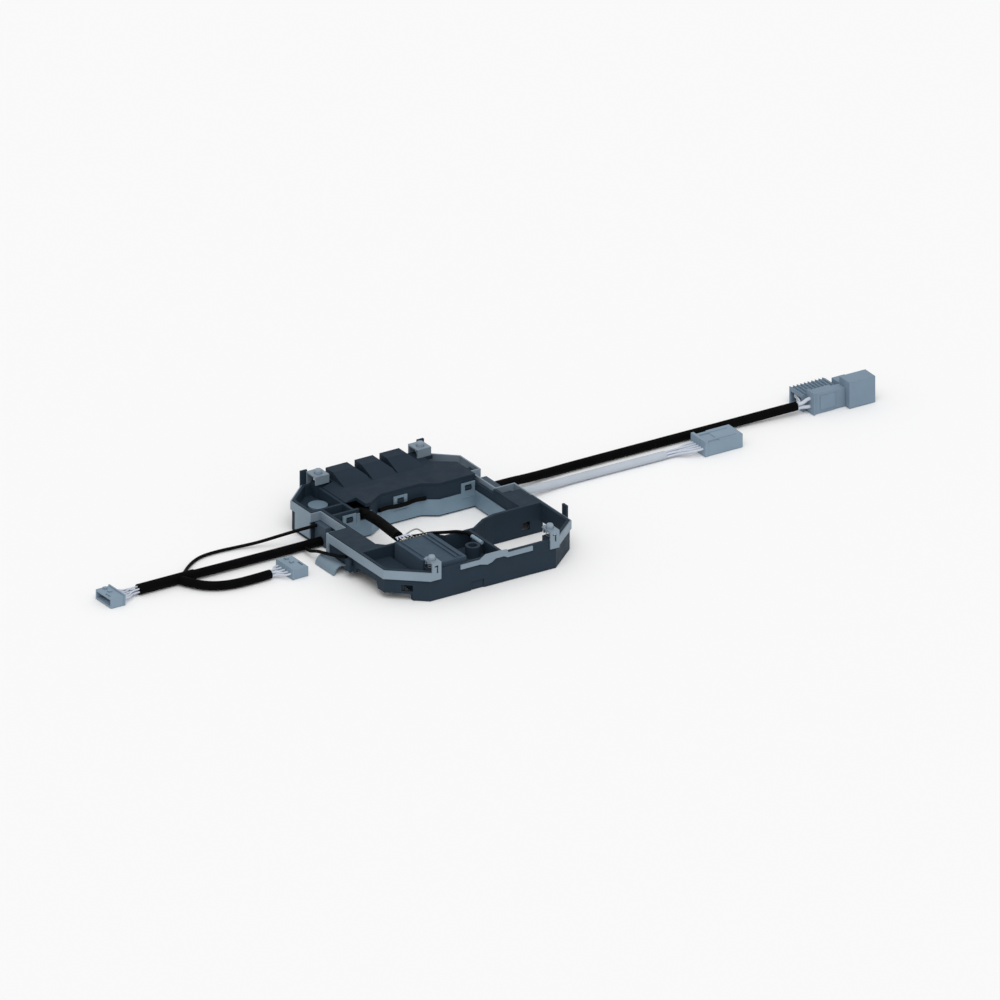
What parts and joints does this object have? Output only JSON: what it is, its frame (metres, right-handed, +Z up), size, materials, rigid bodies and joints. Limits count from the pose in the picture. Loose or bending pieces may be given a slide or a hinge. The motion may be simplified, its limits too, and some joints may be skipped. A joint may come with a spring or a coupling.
{
  "type": "steering wheel contact carrier with harness",
  "caption": "Open moulded steering wheel carrier with folded horn contact strips, sprung contact pins, an electronics module and a wiring harness that ends in plugs.",
  "frame": {"origin": "middle of the central opening, on the plane that the carrier rests on", "axes": "+Z up out of the wheel, +X along the harness to the end socket, +Y away from the front wall"},
  "size_m": [0.5905, 0.1623, 0.0327],
  "materials": {
    "carrier_plastic": "moulded glass-filled plastic, dull",
    "cover_plastic": "moulded plastic, dull",
    "module_plastic": "moulded plastic, fine grain",
    "strip_steel": "stamped and folded spring steel",
    "spring_steel": "drawn wire",
    "pin_plastic": "turned and dull",
    "circuit_board": "laminate",
    "block_plastic": "moulded soft plastic",
    "holder_plastic": "moulded plastic",
    "light_sleeve": "crimped sleeve",
    "contact_metal": "tinned contact",
    "light_wire": "wire insulation",
    "grey_wire": "wire insulation",
    "white_cable": "smooth cable jacket",
    "plug_plastic": "moulded connector plastic",
    "black_sleeve": "braided and extruded sleeve"
  },
  "bodies": {
    "carrier": {"bay_terminal_holder": "holder_plastic", "bay_terminal_sleeve": "light_sleeve", "branch_plug_contacts": "contact_metal", "branch_plug_housing": "plug_plastic", "branch_plug_wires": "light_wire", "carrier_frame": "carrier_plastic", "channel_loom": "black_sleeve", "crossover_sleeve": "black_sleeve", "crossover_wires": "light_wire", "end_plug_cover": "plug_plastic", "end_plug_housing": "plug_plastic", "end_plug_thick_wires": "light_wire", "end_plug_thin_wires": "light_wire", "end_socket": "plug_plastic", "end_socket_contacts": "contact_metal", "flat_plug_contacts": "contact_metal", "flat_plug_housing": "plug_plastic", "flat_plug_wires": "light_wire", "front_contact_strip": "strip_steel", "front_left_lead": "black_sleeve", "front_left_pin_spring": "spring_steel", "front_right_pin_spring": "spring_steel", "grey_loop_wire": "grey_wire", "inner_shield_band": "strip_steel", "left_branch_sleeve": "black_sleeve", "left_cable_block": "block_plastic", "left_contact_rail": "strip_steel", "left_end_sleeve": "black_sleeve", "left_main_sleeve": "black_sleeve", "left_plug_contacts": "contact_metal", "left_plug_housing": "plug_plastic", "left_plug_wires": "light_wire", "left_thin_lead": "black_sleeve", "left_wire_guide": "strip_steel", "module_base": "module_plastic", "module_circuit_board": "circuit_board", "module_cover": "module_plastic", "module_lead": "black_sleeve", "module_terminal_pins": "contact_metal", "rear_channel_cover": "cover_plastic", "rear_inner_lead": "black_sleeve", "rear_left_contact_disc": "strip_steel", "rear_left_pin_spring": "spring_steel", "rear_right_pin_spring": "spring_steel", "right_black_sleeve": "black_sleeve", "right_cable_block": "block_plastic", "right_contact_rail": "strip_steel", "right_white_cable": "white_cable"},
    "front_left_pin": {"front_left_contact_pin": "pin_plastic"},
    "front_right_pin": {"front_right_contact_pin": "pin_plastic"},
    "rear_left_pin": {"rear_left_contact_pin": "pin_plastic"},
    "rear_right_pin": {"rear_right_contact_pin": "pin_plastic"}
  },
  "joints": [
    {"name": "front_left_press", "type": "slide", "parent": "carrier", "child": "front_left_pin", "axis": [0, 0, -1], "range_m": [0, 0.002], "stiffness_N_per_m": 400, "springref_m": -0.001, "deforming": ["front_left_pin_spring"]},
    {"name": "front_right_press", "type": "slide", "parent": "carrier", "child": "front_right_pin", "axis": [0, 0, -1], "range_m": [0, 0.002], "stiffness_N_per_m": 400, "springref_m": -0.001, "deforming": ["front_right_pin_spring"]},
    {"name": "rear_left_press", "type": "slide", "parent": "carrier", "child": "rear_left_pin", "axis": [0, 0, -1], "range_m": [0, 0.002], "stiffness_N_per_m": 400, "springref_m": -0.001, "deforming": ["rear_left_pin_spring"]},
    {"name": "rear_right_press", "type": "slide", "parent": "carrier", "child": "rear_right_pin", "axis": [0, 0, -1], "range_m": [0, 0.002], "stiffness_N_per_m": 400, "springref_m": -0.001, "deforming": ["rear_right_pin_spring"]}
  ]
}
